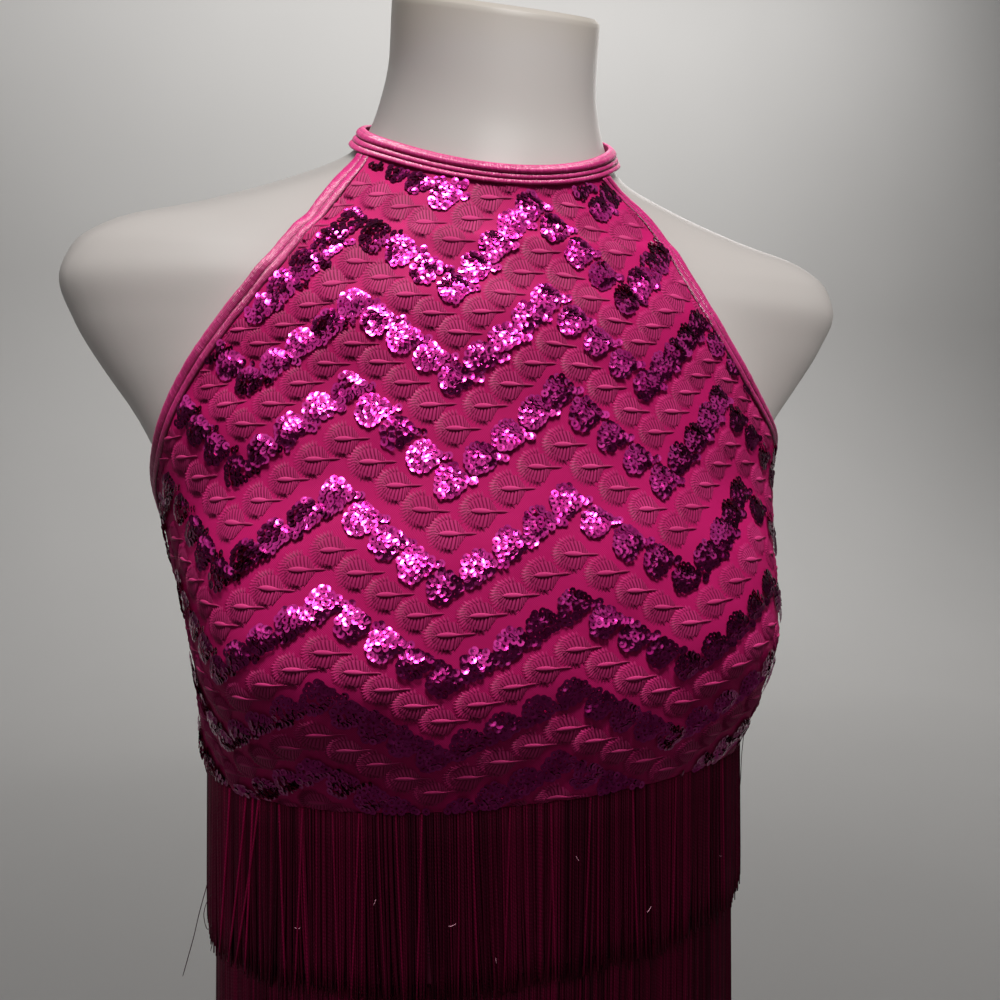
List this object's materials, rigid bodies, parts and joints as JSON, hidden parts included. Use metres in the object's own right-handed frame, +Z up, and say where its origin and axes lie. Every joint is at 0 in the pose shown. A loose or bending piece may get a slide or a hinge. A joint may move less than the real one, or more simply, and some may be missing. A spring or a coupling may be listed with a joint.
{
  "type": "sequinned jazz dance top on a limbless dress form",
  "caption": "Halter-neck dance top with a chevron of sequinned and embroidered leaves, satin bindings and tiered fringe, worn by a limbless dress form.",
  "frame": {"origin": "the middle of the dress form's flat base, on the surface it stands on", "axes": "+Z up along the form, -Y towards the front of the top, +X towards the viewer's right"},
  "size_m": [0.3742, 0.2226, 0.6734],
  "materials": {
    "form_plastic": "smooth glossy off-white moulded plastic",
    "sequin_cloth": "hot pink net over knit lining, with sequinned and satin-stitched leaves",
    "satin_binding": "shiny pink satin tape with rows of stitching",
    "midriff_knit": "plain pink stretch knit",
    "fringe_thread": "dark wine twisted viscose fringe with a soft sheen"
  },
  "bodies": {
    "root": {"dress_form": "form_plastic", "front_panel": "sequin_cloth", "back_panel": "sequin_cloth", "armhole_binding_left": "satin_binding", "armhole_binding_right": "satin_binding", "back_binding": "satin_binding", "neck_band": "satin_binding", "midriff_band": "midriff_knit", "fringe_header_upper": "fringe_thread", "fringe_upper": "fringe_thread", "fringe_header_lower": "fringe_thread", "fringe_lower": "fringe_thread"}
  },
  "joints": []
}
